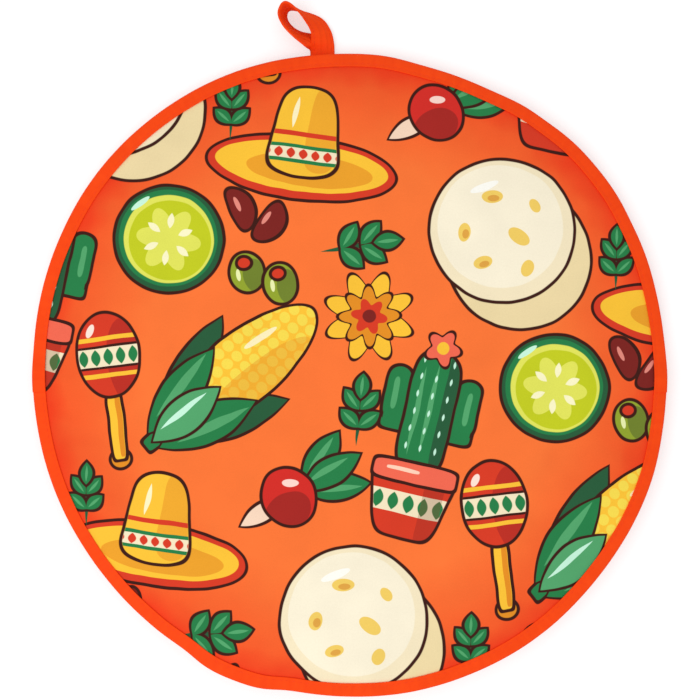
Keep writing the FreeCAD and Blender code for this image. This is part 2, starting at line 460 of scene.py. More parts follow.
def sombrero(motif):
    motif.shape("oval", 0, -10, 46, 15, RED, line=True)
    motif.shape("oval", 0, -9.4, 42.5, 12.2, GOLD)
    motif.shape("oval", 4, -11, 31, 8, AMBER, strength=0.7)
    crown = motif.shape("pod", 0, 8, 15, 22, GOLD, line=True, taper=-0.22)
    motif.shape("pod", 8, 10, 7, 22, AMBER, within=crown, strength=0.55, taper=-0.22)
    motif.shape("slab", 0, -3.5, 30, 4.6, LEAF, within=crown)
    motif.shape("slab", 0, -3.5, 30, 2.8, CREAM, within=crown)
    motif.shape("leaf", 0, -3.5, 2.1, 2.6, RED, within=crown, every=(6, 60))
    motif.shape("slab", 0, 6.5, 30, 1.2, RED, within=crown)
    motif.shape("leaf", -6, 17, 1.3, 8, "#FFF3C4", turn=-6)


# %% Two tortillas
TOASTED = [(-14, 16, 5, 3, 20), (6, 19, 3.4, 2.4, -30), (-20, -4, 3, 4.4, 10),
           (4, 3, 5.6, 3.4, -15), (-7, -14, 4.4, 2.8, 35), (13, -9, 3, 4, 0)]


def tortillas(motif):
    motif.shape("oval", 8, -6, 33, 32, "#EED9A6", line=True)
    motif.shape("oval", -4, 3, 33, 32.5, CREAM, line=True)
    motif.shape("oval", -5.5, 4.5, 29, 28.5, "#FAF0D6")
    for x, y, wide, tall, turn in TOASTED:
        motif.shape("oval", x, y, wide, tall, "#F2CD62", turn=turn)
    for x, y, wide, tall, turn in TOASTED[::2]:
        motif.shape("oval", x + 0.8, y - 0.5, wide * 0.55, tall * 0.5, "#DFA344", turn=turn)
    motif.shape("oval", -19, 19, 1.8, 7, "#FFFDF4", turn=-48)


# %% Maraca


def maraca(motif):
    motif.shape("oval", 0, -38, 5, 4.4, AMBER, line=True)
    grip = motif.shape("slab", 0, -21, 3.4, 17, GOLD, line=True)
    motif.shape("slab", 1.8, -21, 1.4, 16, AMBER, within=grip)
    head = motif.shape("oval", 0, 16, 16, 21, RED, line=True)
    motif.shape("oval", 9, 12, 10, 22, CRIMSON, within=head, strength=0.8)
    motif.shape("slab", 0, 15, 30, 6.2, INK, within=head)
    motif.shape("slab", 0, 15, 30, 4.9, CREAM, within=head)
    motif.shape("leaf", 0, 15, 2.5, 4.4, LEAF, within=head, every=(6.6, 70))
    motif.shape("slab", 0, 5.5, 30, 1.1, GOLD, within=head, every=(200, 19))
    motif.shape("oval", -8, 29, 1.7, 3.6, "#FFE3D6", turn=-32)


# %% Radish


def radish(motif):
    blade = motif.shape("leaf", 8, 25, 6.4, 16, LEAF, turn=-24, line=True, pair=True)
    motif.shape("leaf", 9, 25, 1.6, 12, FRESH, turn=-24, within=blade, pair=True)
    blade = motif.shape("leaf", 0, 26, 6.4, 17, LEAF, line=True)
    motif.shape("leaf", -1.6, 25, 1.6, 12, FRESH, within=blade)
    motif.shape("leaf", 0, -13, 4.2, 13, "#F6D6BC", line=True)
    root = motif.shape("oval", 0, 2, 14, 12.5, "#D42A22", line=True)
    motif.shape("oval", 6, -2, 9, 12, MAROON, within=root, strength=0.6)
    motif.shape("oval", -5.5, 6, 1.9, 4, "#FFD9CE", turn=-30)


# %% Cucumber slice


def cucumber_slice(motif):
    motif.shape("oval", 0, 0, 24, 23, FOREST, line=True)
    motif.shape("oval", -0.4, 0.4, 22.2, 21.3, LEAF)
    motif.shape("oval", 0, 0, 20.2, 19.4, PALE_LIME)
    motif.shape("oval", 0.6, -0.5, 18.4, 17.6, LIME)
    motif.shape("oval", 0, 0, 14.5, 14.5, PALE_LIME, petals=6)
    for across, up, turn, pair in ((0, 8.2, 0, False), (7.1, 4.1, -60, True),
                                   (7.1, -4.1, -120, True), (0, -8.2, 0, False)):
        motif.shape("leaf", across, up, 1.5, 3.4, "#FBF6C8", turn=turn, pair=pair)
    motif.shape("oval", -14.8, 13.8, 1.2, 5, MINT, turn=-46)


# %% Marigold


def marigold(motif):
    motif.shape("oval", 0, 0, 21, 21, GOLD, line=True, petals=8)
    motif.shape("oval", 0, 0, 14, 14, AMBER, turn=22, line=True, petals=8)
    motif.shape("oval", 0, 0, 8.6, 8.6, RED, turn=10, petals=6)
    motif.shape("oval", 0, 0, 3.2, 3.2, MAROON)


# %% Beans


def beans(motif):
    for x, y, turn in ((-7, 3, 25), (7, -3, -35)):
        motif.shape("oval", x, y, 5.4, 10, MAROON, turn=turn, line=True, bend=0.35)
        motif.shape("oval", x - 1.6, y + 2, 1.1, 3.6, "#E58A7C", turn=turn)


# %% Olives


def olives(motif):
    for x, y in ((-7.5, 4), (8, -4)):
        fruit = motif.shape("oval", x, y, 8, 9.6, "#93A52C", line=True)
        motif.shape("oval", x + 3.4, y - 2, 5.5, 8.6, "#65772A", within=fruit, strength=0.8)
        motif.shape("oval", x - 0.6, y + 5, 3, 2.4, RED, line=True)
        motif.shape("oval", x - 4.2, y - 0.6, 1.1, 3, "#EDF3B0")


# %% Sprig of leaves


def sprig(motif):
    motif.shape("leaf", 0, -2, 1.5, 19, FOREST)
    for x, y, turn, pair in ((6, -4, -50, True), (5.5, 8, -40, True), (0, 17, 0, False)):
        blade = motif.shape("leaf", x, y, 4.4, 8, LEAF, turn=turn, line=True, pair=pair)
        motif.shape("leaf", x, y, 1.0, 6, FRESH, turn=turn, within=blade, pair=pair)


# %% [markdown]
# ## Laying out the repeat
#
# Cloth is printed by a roller, so the pattern comes back after every turn of it. Thirteen motifs
# share one repeat; each is far enough from its neighbours, also across the edge of the repeat,
# that the ground shows all round it.

# %% Where each motif goes: across and up in mm, turn in degrees, size
REPEAT_LAYOUT = [
    (cactus, -56, 44, 8, 0.97),
    (corn, 46, 40, -30, 1.0),
    (tortillas, -52, -50, 0, 1.02),
    (sombrero, 38, -44, 14, 0.96),
    (cucumber_slice, -6, 88, 12, 1.06),
    (maraca, -7, 14, 28, 0.92),
    (radish, 89, -6, -38, 0.95),
    (marigold, 95, 88, 0, 1.0),
    (beans, 28, -82, 20, 1.0),
    (olives, 42, 87, 30, 0.95),
    (sprig, 78, -78, -60, 0.85),
    (sprig, 0, -40, 20, 0.66),
    (sprig, -88, 44, 15, 0.75),
]
print(len(REPEAT_LAYOUT), "motifs in a repeat of", REPEAT, "mm")

# %% [markdown]
# ## Printed microfibre
#
# The face cloth is brushed polyester: fine plain weave under a short nap, printed with bright
# inks. To the eye it is matt, with a faint velvety sheen at a glancing angle. The ground is
# orange, and painted shade darkens and reddens it slowly towards the rim, where the shoulder
# slopes away. In the last centimetre before the seam a deeper red is painted on: painted shade of
# the shoulder and a painted reflection of the red tape.

# %% Printed microfibre
# Only the middle's colour is the cloth's own ground. The rim's is painted shade, and the seam's is
# painted shade with a painted reflection of the red tape.
GROUND_MIDDLE, RIM_PAINTED_SHADE, SEAM_SHADE_AND_REFLECTION = "#FB7634", "#F04A1B", "#EC2E0C"
THREAD_SPACING = 0.6        # mm; finer threads than these would not show
PATTERN_TURN = math.radians(21)
HAND_WOBBLE = 1.3           # mm that a drawn line strays
WOBBLE_SCALE = 0.07         # per mm, so a line strays and comes back over about 14 mm
# how unevenly the painted shade at the rim begins
PAINTED_SHADE_UNEVEN = 0.08           # how much the red of the rim comes and goes, as a share of the radius
# painted shade colour, where its red starts and is full as shares of the radius, and how much of it
# at most
RIM_PAINTED_SHADES = [(RIM_PAINTED_SHADE, 0.68, 1.04, 1.0), (SEAM_SHADE_AND_REFLECTION, 0.93, 1.0, 0.6)]
# how uneven the dye is, as a scale per mm and a strength: soaked-in patches, and the nap
PRINT_PATCHES = [(0.045, 0.16), (1.4, 0.12)]


def cut_position(tree):
    """The flat position of the cloth in millimetres, from the piece's UV map."""
    return in_millimetres(tree, add(tree, "ShaderNodeUVMap", uv_map="cut").outputs[0])


def weave_height(tree, cloth_mm, spacing):
    """A plain weave as a height: a band over each warp thread times one over each weft thread."""
    waves = [add(tree, "ShaderNodeTexWave", {
        "Vector": cloth_mm, "Scale": WAVE_BAND / spacing, "Distortion": 0.6, "Detail": 1.0},
        bands_direction=direction).outputs["Fac"] for direction in ("X", "Y")]
    return add(tree, "ShaderNodeMath", {0: waves[0], 1: waves[1]}, operation="MULTIPLY").outputs[0]


def uneven_colour(tree, cloth_mm, colour, *patches):
    """Darkens and lightens a colour in patches, each given as a scale per mm and a strength."""
    level = 1.0
    for scale, strength in patches:
        spots = add(tree, "ShaderNodeTexNoise", {"Vector": cloth_mm, "Scale": scale, "Detail": 3.0})
        level = add(tree, "ShaderNodeMath", {0: spots.outputs[0], 1: strength, 2: level},
                    operation="MULTIPLY_ADD").outputs[0]
    middle = sum(strength for _, strength in patches) / 2
    level = add(tree, "ShaderNodeMath", {0: level, 1: middle}, operation="SUBTRACT").outputs[0]
    return add(tree, "ShaderNodeVectorMath", {0: colour, 3: level}, operation="SCALE").outputs[0]


def make_printed_cloth():
    material, tree = new_material("printed_microfibre")
    cloth = cut_position(tree)
    wobble = add(tree, "ShaderNodeTexNoise", {
        "Vector": cloth, "Scale": WOBBLE_SCALE, "Detail": 1.0})
    strayed = add(tree, "ShaderNodeVectorMath", {
        0: wobble.outputs["Color"], 1: (HAND_WOBBLE, HAND_WOBBLE, 0), 2: cloth},
        operation="MULTIPLY_ADD")
    turned = add(tree, "ShaderNodeMapping", {
        "Vector": strayed.outputs[0], "Rotation": (0, 0, PATTERN_TURN)}).outputs[0]

    # Where the painted shade of the rim falls: the share of the radius, made uneven by the wobble.
    rim = add(tree, "ShaderNodeAttribute", attribute_name="from_middle").outputs["Fac"]
    rim = add(tree, "ShaderNodeMath", {0: wobble.outputs[0], 1: PAINTED_SHADE_UNEVEN, 2: rim},
              operation="MULTIPLY_ADD").outputs[0]
    colour = linear(GROUND_MIDDLE)
    # Painted shade: the ground darkens towards the rim, and beside the seam it takes a painted
    # reflection of the red tape.
    for shade_colour, start, end, most in RIM_PAINTED_SHADES:
        shade_share = add(tree, "ShaderNodeMapRange", {
            "Value": rim, "From Min": start, "From Max": end, "To Max": most})
        colour = add(tree, "ShaderNodeMix", {
            0: shade_share.outputs[0], MIX_UNDER: colour, MIX_OVER: linear(shade_colour)},
            data_type="RGBA").outputs[MIXED]
    for draw, x, y, turn, size in REPEAT_LAYOUT:
        motif = Motif(tree, turned, colour, (x, y), turn, size)
        draw(motif)
        colour = motif.colour

    colour = uneven_colour(tree, cloth, colour, *PRINT_PATCHES)
    weave = weave_height(tree, cloth, THREAD_SPACING)
    bump = add(tree, "ShaderNodeBump", {"Height": weave, "Strength": 0.18, "Distance": 0.1 * MM})
    shader = add(tree, "ShaderNodeBsdfPrincipled", {
        "Base Color": colour, "Roughness": 0.82, "Specular IOR Level": 0.2,
        "Sheen Weight": 0.05, "Sheen Roughness": 0.4, "Sheen Tint": linear("#FFC9A8"),
        "Normal": bump.outputs[0]})
    add(tree, "ShaderNodeOutputMaterial", {"Surface": shader.outputs[0]})
    return material


printed_cloth = make_printed_cloth()
count_nodes(printed_cloth)

# %% [markdown]
# ## Bias tape and thread
#
# The binding is polyester satin cut on the bias, so that it stretches round a curve. Its threads
# run at 45 degrees to its length, and long floats on its face make it smoother and a little
# glossier than the face cloth. Where it is sewn down, small wrinkles cross it from edge to edge.
# The thread is the same red, with the twist of three plies.

# %% Satin bias tape
# TAPE_SHADE is painted shade for the hollows of the tape's wrinkles.
TAPE_COLOUR, TAPE_SHADE = "#FF4F13", "#F5420F"
FLOAT_SPACING = 0.5         # mm between satin floats, drawn coarser than real to show at all
BIAS = math.radians(45)     # between the threads and the tape's length
WRINKLE_ALONG, WRINKLE_ACROSS = 3.4, 16.0       # mm
TAPE_PATCHES = [(0.09, 0.14), (1.1, 0.08)]


def make_bias_tape():
    material, tree = new_material("satin_bias_tape")
    cloth = cut_position(tree)
    on_bias = add(tree, "ShaderNodeMapping", {"Vector": cloth, "Rotation": (0, 0, BIAS)})
    floats = add(tree, "ShaderNodeTexWave", {
        "Vector": on_bias.outputs[0], "Scale": WAVE_BAND / FLOAT_SPACING, "Distortion": 0.8,
        "Detail": 1.0})
    pulled = add(tree, "ShaderNodeMapping", {
        "Vector": cloth, "Scale": (1 / WRINKLE_ALONG, 1 / WRINKLE_ACROSS, 1)})
    wrinkles = add(tree, "ShaderNodeTexNoise", {
        "Vector": pulled.outputs[0], "Scale": 1.0, "Detail": 2.0})
    # Painted shade: the tape is darker in the hollows of its wrinkles, from the same noise that
    # bumps them.
    wrinkle_shaded = add(tree, "ShaderNodeMix", {
        0: wrinkles.outputs[0], MIX_UNDER: linear(TAPE_SHADE), MIX_OVER: linear(TAPE_COLOUR)},
        data_type="RGBA").outputs[MIXED]
    colour = uneven_colour(tree, cloth, wrinkle_shaded, *TAPE_PATCHES)
    bump = add(tree, "ShaderNodeBump", {
        "Height": wrinkles.outputs[0], "Strength": 0.55, "Distance": 0.5 * MM})
    bump = add(tree, "ShaderNodeBump", {
        "Height": floats.outputs[1], "Strength": 0.15, "Distance": 0.08 * MM,
        "Normal": bump.outputs[0]})
    shader = add(tree, "ShaderNodeBsdfPrincipled", {
        "Base Color": colour, "Roughness": 0.55, "Specular IOR Level": 0.06,
        "Sheen Weight": 0.01, "Sheen Roughness": 0.35, "Sheen Tint": linear("#FF7A4A"),
        "Normal": bump.outputs[0]})
    add(tree, "ShaderNodeOutputMaterial", {"Surface": shader.outputs[0]})
    return material


bias_tape = make_bias_tape()
count_nodes(bias_tape)

# %% Polyester thread
THREAD_COLOUR = "#F5430F"
PLY_SPACING = 0.35          # mm between the twisted plies
THREAD_PATCHES = [(0.8, 0.25)]


def make_thread():
    material, tree = new_material("twisted_polyester_thread")
    in_mm = in_millimetres(tree, add(tree, "ShaderNodeTexCoord").outputs["Object"])
    plies = add(tree, "ShaderNodeTexWave", {
        "Vector": in_mm, "Scale": WAVE_BAND / PLY_SPACING, "Distortion": 0.4},
        bands_direction="DIAGONAL")
    bump = add(tree, "ShaderNodeBump", {
        "Height": plies.outputs[1], "Strength": 0.4, "Distance": 0.08 * MM})
    colour = uneven_colour(tree, in_mm, linear(THREAD_COLOUR)[:3], *THREAD_PATCHES)
    shader = add(tree, "ShaderNodeBsdfPrincipled", {
        "Base Color": colour, "Roughness": 0.5, "Specular IOR Level": 0.15,
        "Normal": bump.outputs[0]})
    add(tree, "ShaderNodeOutputMaterial", {"Surface": shader.outputs[0]})
    return material


thread = make_thread()
count_nodes(thread)

# %% [markdown]
# ## Cotton and wadding
#
# The lining is unbleached cotton in plain weave: matt, with threads that vary in thickness and a
# few dark specks of husk left in the yarn. The wadding is a felt of needled polyester fibres,
# which scatters light so well that it looks like snow.

# %% Natural cotton
COTTON_COLOUR, SPECK_COLOUR = "#EFE6D2", "#B89F74"
YARN_SPACING = 0.7          # mm
SLUB_LENGTH = 22.0          # mm, a stretch of thicker yarn
SLUB_ACROSS = 1.2           # per mm, across the yarns
SPECK_SCALE = 0.11          # per mm, so one speck in a patch of about 9 mm
SPECK_INNER, SPECK_OUTER = 0.03, 0.05       # shares of a patch
COTTON_PATCHES = [(0.03, 0.1), (0.6, 0.08)]


def make_cotton():
    material, tree = new_material("natural_cotton")
    cloth = cut_position(tree)
    weave = weave_height(tree, cloth, YARN_SPACING)
    slubs = [add(tree, "ShaderNodeTexNoise", {
        "Vector": add(tree, "ShaderNodeMapping", {"Vector": cloth, "Scale": scale}).outputs[0],
        "Scale": 1.0, "Detail": 2.0}).outputs[0]
        for scale in ((1 / SLUB_LENGTH, SLUB_ACROSS, 1), (SLUB_ACROSS, 1 / SLUB_LENGTH, 1))]
    yarn = add(tree, "ShaderNodeMath", {0: slubs[0], 1: slubs[1]}, operation="ADD").outputs[0]
    specks = add(tree, "ShaderNodeTexVoronoi", {"Vector": cloth, "Scale": SPECK_SCALE})
    speck = add(tree, "ShaderNodeMapRange", {
        "Value": specks.outputs["Distance"], "From Min": SPECK_INNER, "From Max": SPECK_OUTER,
        "To Min": 0.7, "To Max": 0.0})
    colour = add(tree, "ShaderNodeMix", {
        0: speck.outputs[0], MIX_UNDER: linear(COTTON_COLOUR), MIX_OVER: linear(SPECK_COLOUR)},
        data_type="RGBA").outputs[MIXED]
    colour = uneven_colour(tree, cloth, colour, *COTTON_PATCHES)
    bump = add(tree, "ShaderNodeBump", {"Height": yarn, "Strength": 0.25, "Distance": 0.2 * MM})
    bump = add(tree, "ShaderNodeBump", {
        "Height": weave, "Strength": 0.4, "Distance": 0.15 * MM, "Normal": bump.outputs[0]})
    shader = add(tree, "ShaderNodeBsdfPrincipled", {
        "Base Color": colour, "Roughness": 0.9, "Specular IOR Level": 0.2,
        "Sheen Weight": 0.08, "Normal": bump.outputs[0]})
    add(tree, "ShaderNodeOutputMaterial", {"Surface": shader.outputs[0]})
    return material


lining_cotton = make_cotton()
count_nodes(lining_cotton)

# %% Needled wadding
WADDING_COLOUR = "#F1EFE9"
FIBRE_LENGTH = 9.0          # mm
FIBRES_SEEN = 6             # that lie side by side over one fibre's length
WADDING_PATCHES = [(0.3, 0.1)]


def make_wadding_felt():
    material, tree = new_material("needled_wadding")
    in_mm = in_millimetres(tree, add(tree, "ShaderNodeTexCoord").outputs["Object"])
    fibres = add(tree, "ShaderNodeTexNoise", {
        "Vector": in_mm, "Scale": FIBRES_SEEN / FIBRE_LENGTH, "Detail": 8.0, "Distortion": 3.0})
    bump = add(tree, "ShaderNodeBump", {
        "Height": fibres.outputs[0], "Strength": 0.6, "Distance": 0.6 * MM})
    colour = uneven_colour(tree, in_mm, linear(WADDING_COLOUR)[:3], *WADDING_PATCHES)
    shader = add(tree, "ShaderNodeBsdfPrincipled", {
        "Base Color": colour, "Roughness": 1.0, "Specular IOR Level": 0.1,
        "Sheen Weight": 0.2, "Normal": bump.outputs[0]})
    add(tree, "ShaderNodeOutputMaterial", {"Surface": shader.outputs[0]})
    return material


wadding_felt = make_wadding_felt()
count_nodes(wadding_felt)

# %% [markdown]
# ## Cutting a round of cloth
#
# Cloth behaves well only on cells of one size and shape. A disc made like a cake, from thin
# slices that meet in the middle, has needle-shaped cells there. So each layer starts as a square
# grid that is rounded into a disc. There are two ways to round it: one turns the square rings
# into circles but leaves a kink where they had their corners, and the other bows the grid's lines
# out and has no kink. The round uses the second in the middle, where the cloth folds over when
# the pouch opens, and goes over to the first towards the rim, where the puckers will be.
#
# The flat position of each vertex is kept as a UV map called "cut". The print and the weave read
# it, so they stay on the cloth when it bends.

# %% A flat round, and its lie
RINGS = 56
RINGS_ROUND_FROM, RINGS_ROUND_AT = 0.3, 0.8     # shares of the way from the middle to the rim
RINGS_CLOSER = 0.25                             # how much the rings draw together at the rim
BOLT_MIDDLE = 0.5           # metres; pieces are cut near here, so that no cut position is negative


def bowed(x, y):
    return Vector((x * math.sqrt(1 - y * y / 2), y * math.sqrt(1 - x * x / 2), 0))


def ringed(x, y):
    ring = max(abs(x), abs(y))
    if ring < TINY:
        return Vector((0, 0, 0))
    if abs(x) >= abs(y):
        turn = math.pi / 4 * y / x + (math.pi if x < 0 else 0)
    else:
        turn = math.pi / 2 - math.pi / 4 * x / y + (math.pi if y < 0 else 0)
    return Vector((math.cos(turn), math.sin(turn), 0)) * ring


def cut_round(radius, rings, bolt_place, facing):
    """A flat round of cloth, cut at a place of the bolt in metres; facing is -1 face down."""
    bm = bmesh.new()
    bmesh.ops.create_grid(bm, x_segments=2 * rings, y_segments=2 * rings, size=1.0)
    for vert in bm.verts:
        x, y = vert.co.x, vert.co.y
        ring = max(abs(x), abs(y))
        roundness = eased(ring, RINGS_ROUND_FROM, RINGS_ROUND_AT)
        spread = 1 + RINGS_CLOSER * (1 - ring)
        vert.co = bowed(x, y).lerp(ringed(x, y), roundness) * radius * spread
    from_middle = bm.verts.layers.float.new("from_middle")
    for vert in bm.verts:
        vert[from_middle] = vert.co.length / radius
    cut = bm.loops.layers.uv.new("cut")
    for face in bm.faces:
        for corner in face.loops:
            flat = corner.vert.co
            corner[cut].uv = (facing * flat.x + bolt_place[0], flat.y + bolt_place[1])
    return bm


def lay_on(bm, surface, front):
    for vert in bm.verts:
        flat = vert.co.xy
        vert.co = settled((flat.x, flat.y, height(surface, flat.length)), front)


def give_thickness(piece, thickness):
    solidify = piece.modifiers.new("thickness", "SOLIDIFY")
    solidify.thickness = thickness
    solidify.offset = 0
    solidify.use_even_offset = False


def make_sheet(name, surface, front, material, bolt_place=(BOLT_MIDDLE, BOLT_MIDDLE), facing=1):
    """One layer of cloth; the surface given is the middle of its thickness."""
    bm = cut_round(CLOTH_RADIUS, RINGS, bolt_place, facing)
    lay_on(bm, surface, front)
    if facing < 0:
        bmesh.ops.reverse_faces(bm, faces=bm.faces)
    return make_piece(name, bm, material)


front_cover = make_sheet("front_cover", raised(FRONT_FACE, -CLOTH / 2), 1, printed_cloth,
                         bolt_place=(0.502, 0.497))
front_lining = make_sheet("front_lining_cloth", raised(FRONT_INSIDE, CLOTH / 2), 1, lining_cotton)
back_cover = make_sheet("back_cover", raised(BACK_FACE, CLOTH / 2), 0, printed_cloth,
                        bolt_place=(0.42, 0.57), facing=-1)
back_lining = make_sheet("back_lining_cloth", raised(BACK_INSIDE, -CLOTH / 2), 0, lining_cotton)

# %% [markdown]
# ## Filling the panels with air
#
# Wadding pushes the face cloth out, and the seam holds it in, so it swells between the two and
# puckers beside the tape. Cloth simulation does this well: the ring under the tape is pinned, the
# cloth beside it is given a little spare length, and a light pressure blows it up for twenty
# frames. How far a point may go is capped, so that the panel keeps its size. The result is written
# back to the mesh, and the simulation is gone before anything else is built on it.

# %% Blow up the face cloths
FRAMES = 20
PRESSURE = 4.0
SUBSTEPS, CLOTH_MASS = 6, 0.1
STRETCH_STIFFNESS, BEND_STIFFNESS = 12, 0.4
SEWN_FROM = TAPE_INNER_RADIUS - 1 * MM
SPARE_CLOTH = 0.03          # share by which the cloth beside the seam is too long
SPARE_FROM, SPARE_AT = CLOTH_RADIUS - 45 * MM, CLOTH_RADIUS - 15 * MM
MOST_MOVED = 2.2 * MM


def group_weights(piece, name, weight_at):
    """A vertex group whose weights depend on the flat distance from the middle."""
    group = piece.vertex_groups.new(name=name)
    shares = piece.data.attributes["from_middle"].data
    for index, share in enumerate(shares):
        group.add([index], weight_at(share.value * CLOTH_RADIUS), "REPLACE")
    return name


def blow_up(piece):
    neat = [vert.co.copy() for vert in piece.data.vertices]
    cloth = piece.modifiers.new("filling", "CLOTH")
    settings = cloth.settings
    settings.quality = SUBSTEPS
    settings.mass = CLOTH_MASS
    settings.tension_stiffness = settings.compression_stiffness = STRETCH_STIFFNESS
    settings.bending_stiffness = BEND_STIFFNESS
    settings.use_pressure = True
    settings.uniform_pressure_force = PRESSURE
    settings.effector_weights.gravity = 0
    settings.vertex_group_mass = group_weights(
        piece, "sewn", lambda radius: 1.0 if radius > SEWN_FROM else 0.0)
    settings.vertex_group_shrink = group_weights(
        piece, "spare", lambda radius: eased(radius, SPARE_FROM, SPARE_AT))
    settings.shrink_min, settings.shrink_max = 0.0, -SPARE_CLOTH
    cloth.point_cache.frame_end = FRAMES
    scene = bpy.context.scene
    for frame_number in range(1, FRAMES + 1):
        scene.frame_set(frame_number)
    filled = piece.evaluated_get(bpy.context.evaluated_depsgraph_get()).to_mesh()
    moves = [after.co - before for after, before in zip(filled.vertices, neat)]
    piece.modifiers.remove(cloth)
    for vert, before, move in zip(piece.data.vertices, neat, moves):
        if move.length:
            move *= MOST_MOVED * math.tanh(move.length / MOST_MOVED) / move.length
        vert.co = before + move
        vert.co.z = max(vert.co.z, CLOTH / 2)
    scene.frame_set(1)
    piece.vertex_groups.clear()
    piece.data.shade_smooth()
    print(f"{piece.name}: moved up to {max(move.length for move in moves) / MM:.1f} mm")


blow_up(front_cover)
blow_up(back_cover)

# %% [markdown]
# ## Wadding
#
# The wadding fills what the two cloths leave. Its top is a copy of the cloth above it, lowered a
# little; its underside is the same faces extruded and laid on the cloth below. Made this way it
# follows every pucker of the cover and can't poke through.

# %% Fill a panel
WADDING_AIR = 0.08 * MM


def pour(part, whole):
    """Adds one bmesh to another, and empties it."""
    carrier = bpy.data.meshes.new("carrier")
    part.to_mesh(carrier)
    part.free()
    whole.from_mesh(carrier)
    bpy.data.meshes.remove(carrier)


def make_wadding(name, above, below, material):
    bm = bmesh.new()
    bm.from_mesh(above.data)
    bmesh.ops.translate(bm, verts=bm.verts, vec=(0, 0, -CLOTH / 2 - WADDING_AIR))
    under = bm.copy()
    under.verts.ensure_lookup_table()
    bm.verts.ensure_lookup_table()
    for vert in under.verts:
        vert.co.z = below.data.vertices[vert.index].co.z + CLOTH / 2 + WADDING_AIR
    bmesh.ops.reverse_faces(under, faces=under.faces)
    pour(under, bm)
    rims = [edge for edge in bm.edges if edge.is_boundary]
    bmesh.ops.bridge_loops(bm, edges=rims)
    bmesh.ops.recalc_face_normals(bm, faces=bm.faces)
    return make_piece(name, bm, material, sharp_above=50)


front_wadding = make_wadding("front_wadding", front_cover, front_lining, wadding_felt)
back_wadding = make_wadding("back_wadding", back_lining, back_cover, wadding_felt)

for sheet in (front_cover, front_lining, back_cover, back_lining):
    give_thickness(sheet, CLOTH)

# %% [markdown]
# ## Binding the rim
#
# Bias tape is folded lengthwise round the raw edges and sewn through all layers. Its section is a
# thick letter C: a bulge at the fold, and a limb on each face that ends in a turned-under edge.
# Nine points give that section, bevels round its corners, and spin turns it round the rim. A
# curve with a bevel object could do the same, but the section changes where the tape passes over
# the lips, and a mesh is easier to move there.

# %% The section of folded tape
BULGE = 0.6 * MM
FOLD_ROUNDING, HEM_ROUNDING = 0.75 * MM, 0.38 * MM
SHORTEST_LIMB, LIMB_CUTS = 3 * MM, 7
STITCH_RADIUS = TAPE_INNER_RADIUS + 1.6 * MM


def tape_section(under, over):
    """A closed outline in the XZ plane, round the edge of everything between two surfaces."""
    rim = RADIUS - BULGE
    bottom, top = under[1], over[1]
    inner_bottom, inner_top = height(under, TAPE_INNER_RADIUS), height(over, TAPE_INNER_RADIUS)
    corners = [
        (RADIUS, (bottom + top) / 2), (rim, top + TAPE),
        (TAPE_INNER_RADIUS, inner_top + TAPE), (TAPE_INNER_RADIUS, inner_top),
        (CLOTH_RADIUS, top), (CLOTH_RADIUS, bottom),
        (TAPE_INNER_RADIUS, inner_bottom), (TAPE_INNER_RADIUS, inner_bottom - TAPE),
        (rim, bottom - TAPE)]
    bm = bmesh.new()
    verts = [bm.verts.new((radius, 0, z)) for radius, z in corners]
    for pair in zip(verts, verts[1:] + verts[:1]):
        bm.edges.new(pair)
    fold = [verts[0], verts[1], verts[8]]
    bmesh.ops.bevel(bm, geom=fold, offset=FOLD_ROUNDING, offset_type="OFFSET", segments=4,
                    profile=0.5, affect="VERTICES", clamp_overlap=True, material=-1)
    hems = [verts[2], verts[3], verts[6], verts[7]]
    bmesh.ops.bevel(bm, geom=hems, offset=HEM_ROUNDING, offset_type="OFFSET", segments=3,
                    profile=0.5, affect="VERTICES", clamp_overlap=True, material=-1)
    limbs = [edge for edge in bm.edges if edge.calc_length() > SHORTEST_LIMB]
    bmesh.ops.subdivide_edges(bm, edges=limbs, cuts=LIMB_CUTS)
    return bm


def turn_section(bm, start, end, steps):
    """Spins the section round the rim between two directions in degrees, and closes its ends."""
    bmesh.ops.rotate(bm, verts=bm.verts, cent=(0, 0, 0),
                     matrix=Matrix.Rotation(math.radians(start), 3, "Z"))
    bmesh.ops.spin(bm, geom=bm.verts[:] + bm.edges[:], cent=(0, 0, 0), axis=(0, 0, 1),
                   angle=math.radians(end - start), steps=steps)
    bmesh.ops.holes_fill(bm, edges=[edge for edge in bm.edges if edge.is_boundary], sides=0)
    bmesh.ops.recalc_face_normals(bm, faces=bm.faces)


bm = tape_section(BACK_FACE, FRONT_FACE)
print("tape section:", len(bm.verts), "points")
bm.free()

# %% Where each tape starts and ends
# The seam's tape runs a little past the corner of the mouth and covers the ends of both lips'.
SEAM_PAST_CORNER = 4 * MM
LIP_UNDER_SEAM = 5 * MM


def direction_at(y):
    return math.degrees(math.asin(y / RADIUS))


seam_end = direction_at(FOLD_Y + SEAM_PAST_CORNER)
lip_end = direction_at(FOLD_Y + SEAM_PAST_CORNER + LIP_UNDER_SEAM)
print(f"seam tape {seam_end:.1f} to {180 - seam_end:.1f} degrees, lips from {180 - lip_end:.1f}")

# %% Settle the tapes and dent them along their stitches
TAPE_MIDDLE = (BACK_EDGE + FACE_EDGE) / 2
TURN_MARGIN = 1             # degree, so that a tape's first point doesn't count as a whole turn on
FLARE = 0.35 * MM
FLARE_FROM, FLARE_AT = -32 * MM, -12 * MM       # past the fold, so below zero is before it
DENT, DENT_REACH = 0.22 * MM, 0.8 * MM


